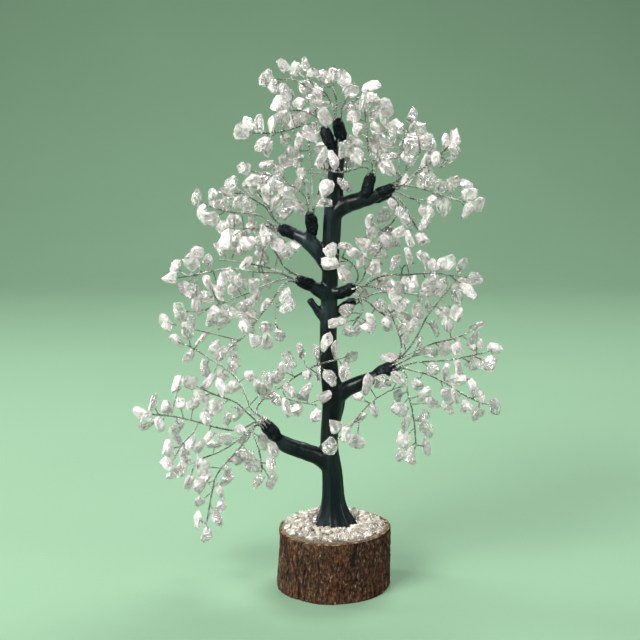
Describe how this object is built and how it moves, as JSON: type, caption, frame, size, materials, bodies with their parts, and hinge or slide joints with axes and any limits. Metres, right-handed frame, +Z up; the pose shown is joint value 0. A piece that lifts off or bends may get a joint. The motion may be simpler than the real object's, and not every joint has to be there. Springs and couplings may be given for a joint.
{
  "type": "gemstone tree ornament",
  "caption": "Free-standing gemstone tree: a bark-edged log slice with gravel, a branching trunk and twisted wire sprays of drilled quartz chips.",
  "frame": {"origin": "middle of the slice's flat underside, on the surface that the ornament stands on", "axes": "+Z up the trunk, -Y towards the viewer of the picture, +X to the viewer's right"},
  "size_m": [0.2041, 0.0916, 0.29],
  "materials": {
    "bark": "rough bark",
    "wood": "sawn end grain",
    "glue": "clear set glue",
    "gravel": "crushed quartz",
    "trunk_resin": "glossy dark teal",
    "silver_wire": "bright twisted wire",
    "painted_wire": "wound wire brushed with dark resin",
    "clear_quartz": "tumbled, polished"
  },
  "bodies": {
    "root": {"bark_ring": "bark", "wood_slice": "wood", "glue_bed": "glue", "quartz_gravel": "gravel", "trunk": "trunk_resin", "crown_left_binding": "painted_wire", "crown_left_stems": "silver_wire", "crown_left_twigs": "silver_wire", "crown_left_chips": "clear_quartz", "crown_right_binding": "painted_wire", "crown_right_stems": "silver_wire", "crown_right_twigs": "silver_wire", "crown_right_chips": "clear_quartz", "upper_right_spur_binding": "painted_wire", "upper_right_spur_stems": "silver_wire", "upper_right_spur_twigs": "silver_wire", "upper_right_spur_chips": "clear_quartz", "upper_right_binding": "painted_wire", "upper_right_stems": "silver_wire", "upper_right_twigs": "silver_wire", "upper_right_chips": "clear_quartz", "upper_right_low_binding": "painted_wire", "upper_right_low_stems": "silver_wire", "upper_right_low_twigs": "silver_wire", "upper_right_low_chips": "clear_quartz", "upper_left_binding": "painted_wire", "upper_left_stems": "silver_wire", "upper_left_twigs": "silver_wire", "upper_left_chips": "clear_quartz", "upper_left_spur_binding": "painted_wire", "upper_left_spur_stems": "silver_wire", "upper_left_spur_twigs": "silver_wire", "upper_left_spur_chips": "clear_quartz", "mid_left_binding": "painted_wire", "mid_left_stems": "silver_wire", "mid_left_twigs": "silver_wire", "mid_left_chips": "clear_quartz", "mid_right_binding": "painted_wire", "mid_right_stems": "silver_wire", "mid_right_twigs": "silver_wire", "mid_right_chips": "clear_quartz", "mid_right_low_binding": "painted_wire", "mid_right_low_stems": "silver_wire", "mid_right_low_twigs": "silver_wire", "mid_right_low_chips": "clear_quartz", "lower_right_binding": "painted_wire", "lower_right_stems": "silver_wire", "lower_right_twigs": "silver_wire", "lower_right_chips": "clear_quartz", "lower_left_binding": "painted_wire", "lower_left_stems": "silver_wire", "lower_left_twigs": "silver_wire", "lower_left_chips": "clear_quartz"}
  },
  "joints": []
}
